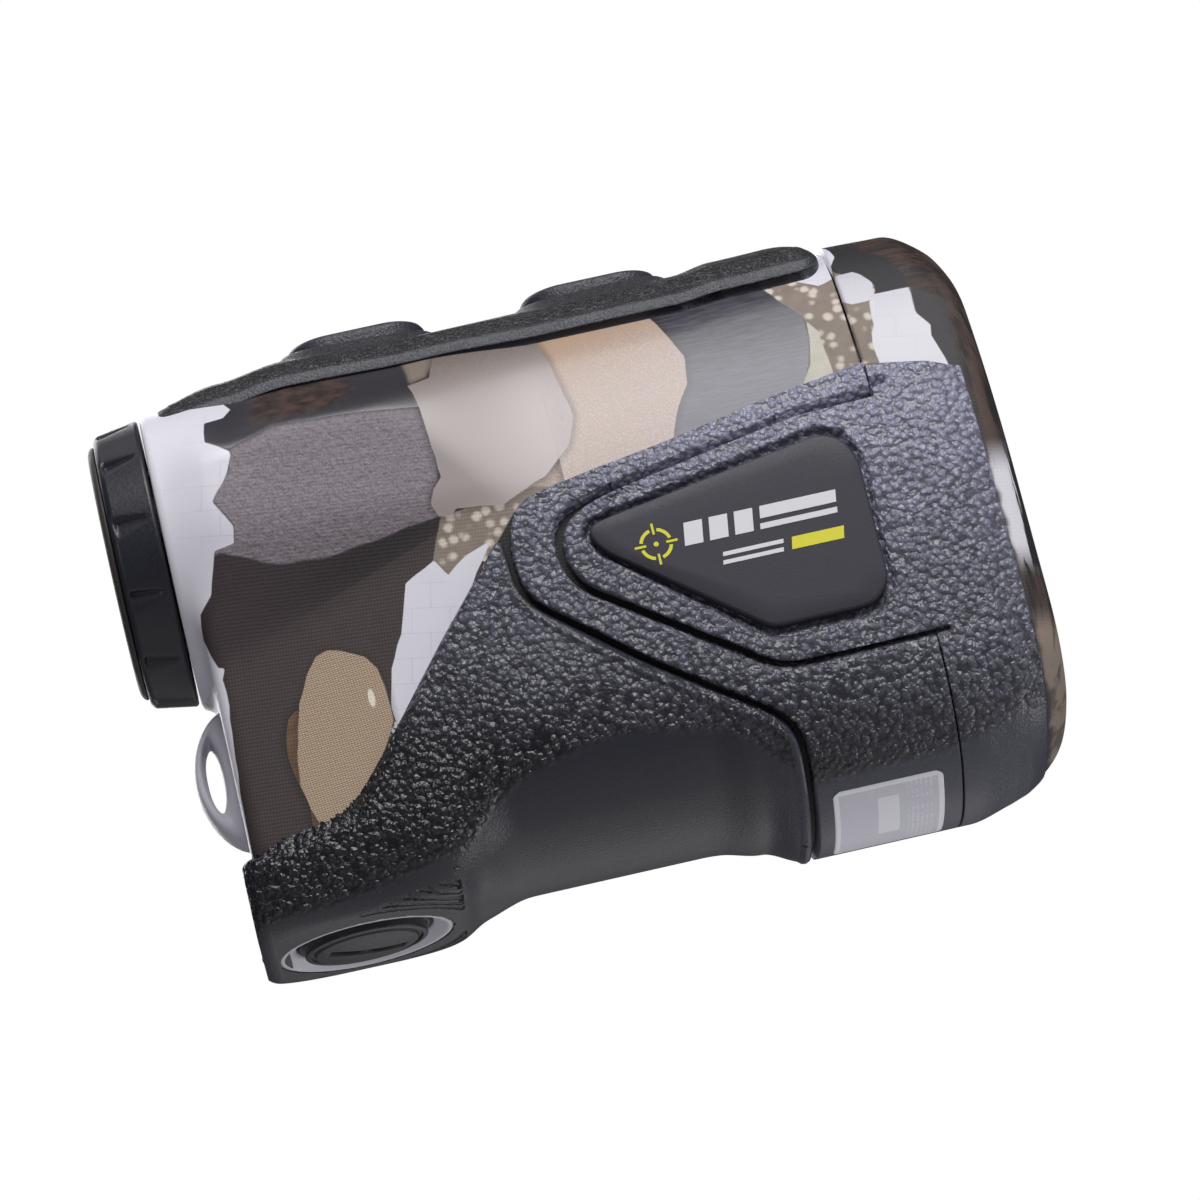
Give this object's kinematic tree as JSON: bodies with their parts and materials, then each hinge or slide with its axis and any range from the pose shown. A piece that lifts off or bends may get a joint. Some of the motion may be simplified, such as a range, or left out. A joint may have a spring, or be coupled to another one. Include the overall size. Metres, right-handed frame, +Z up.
{
  "type": "laser rangefinder",
  "caption": "Hand-held monocular laser rangefinder: camouflage case with rubber grips, key pad on top, turning eyepiece ring, twin front lenses and a screwed battery port beneath.",
  "frame": {"origin": "centre of the base, level with the lowest line of the front belly", "axes": "+X forward along the sight line, +Y to the user's left, +Z up"},
  "size_m": [0.106, 0.0406, 0.075],
  "materials": {
    "camo_plastic": "satin camouflage print",
    "grip_rubber": "pebble grain, satin",
    "black_plastic": "satin black",
    "plate_plastic": "smooth satin",
    "label_film": "matt printed film",
    "pale_plastic": "satin camouflage print",
    "clear_glass": "polished",
    "coated_glass": "polished and coated",
    "steel": "plain",
    "bare_aluminium": "turned",
    "contact_brass": "plain",
    "circuit_board": "lacquered",
    "cable_film": "polyimide film",
    "chip_epoxy": "matt",
    "cell_can": "printed sleeve"
  },
  "bodies": {
    "housing": {"left_shell": "camo_plastic", "right_shell": "camo_plastic", "front_bezel": "camo_plastic", "rear_grip": "grip_rubber", "front_grip": "grip_rubber", "bezel_grip": "grip_rubber", "top_strip": "grip_rubber", "front_plate": "black_plastic", "objective_ring": "black_plastic", "prism_holder": "black_plastic", "eyepiece_housing": "black_plastic", "laser_lens_ring": "black_plastic", "laser_tube": "black_plastic", "battery_tube": "black_plastic", "left_name_plate": "plate_plastic", "right_name_plate": "plate_plastic", "belly_label": "label_film", "cap_ring": "pale_plastic", "lanyard_loop": "pale_plastic", "prism_block": "clear_glass", "reticle_display": "clear_glass", "objective_lens": "coated_glass", "laser_lens": "coated_glass", "measure_switch": "steel", "mode_switch": "steel", "receiver_diode": "steel", "board_screw_1": "steel", "board_screw_2": "steel", "board_screw_3": "steel", "board_screw_4": "steel", "objective_barrel": "bare_aluminium", "laser_diode": "contact_brass", "battery_top_contact": "contact_brass", "button_board": "circuit_board", "main_board": "circuit_board", "flexible_cable": "cable_film", "processor_chip": "chip_epoxy"},
    "diopter": {"diopter_ring": "grip_rubber", "eyecup": "grip_rubber"},
    "eyepiece": {"eyepiece_barrel": "black_plastic", "eye_lens": "coated_glass", "field_lens": "clear_glass", "eyepiece_retainer": "black_plastic"},
    "measure_key": {"measure_button": "grip_rubber", "measure_plunger": "black_plastic"},
    "mode_key": {"mode_button": "grip_rubber", "mode_plunger": "black_plastic"},
    "battery": {"battery_cell": "cell_can"},
    "cap_carrier": {"cap_contact": "contact_brass"},
    "cap": {"battery_cap": "black_plastic", "cap_seal": "grip_rubber"}
  },
  "joints": [
    {"name": "diopter_turn", "type": "hinge", "parent": "housing", "child": "diopter", "pos_m": [-0.05, 0, 0.0525], "axis": [1, 0, 0], "range_deg": [-120, 120]},
    {"name": "eyepiece_travel", "type": "slide", "parent": "housing", "child": "eyepiece", "axis": [1, 0, 0], "range_m": [-0.0012, 0.0012]},
    {"name": "measure_press", "type": "slide", "parent": "housing", "child": "measure_key", "axis": [0, 0, -1], "range_m": [0, 0.0006], "stiffness_N_per_m": 2000, "springref_m": -0.0002},
    {"name": "mode_press", "type": "slide", "parent": "housing", "child": "mode_key", "axis": [0, 0, -1], "range_m": [0, 0.0006], "stiffness_N_per_m": 2000, "springref_m": -0.0002},
    {"name": "battery_out", "type": "slide", "parent": "housing", "child": "battery", "axis": [0, 0, -1], "range_m": [0, 0.034]},
    {"name": "cap_travel", "type": "slide", "parent": "battery", "child": "cap_carrier", "axis": [0, 0, -1], "range_m": [0, 0.0015]},
    {"name": "cap_turn", "type": "hinge", "parent": "cap_carrier", "child": "cap", "pos_m": [-0.0332, 0, 0.0043], "axis": [0, 0, -1], "range_deg": [0, 540]}
  ],
  "couplings": [
    {"joint": "eyepiece_travel", "follows": "diopter_turn", "m_per_rad": 0.00057},
    {"joint": "cap_travel", "follows": "cap_turn", "m_per_rad": 0.000159}
  ]
}
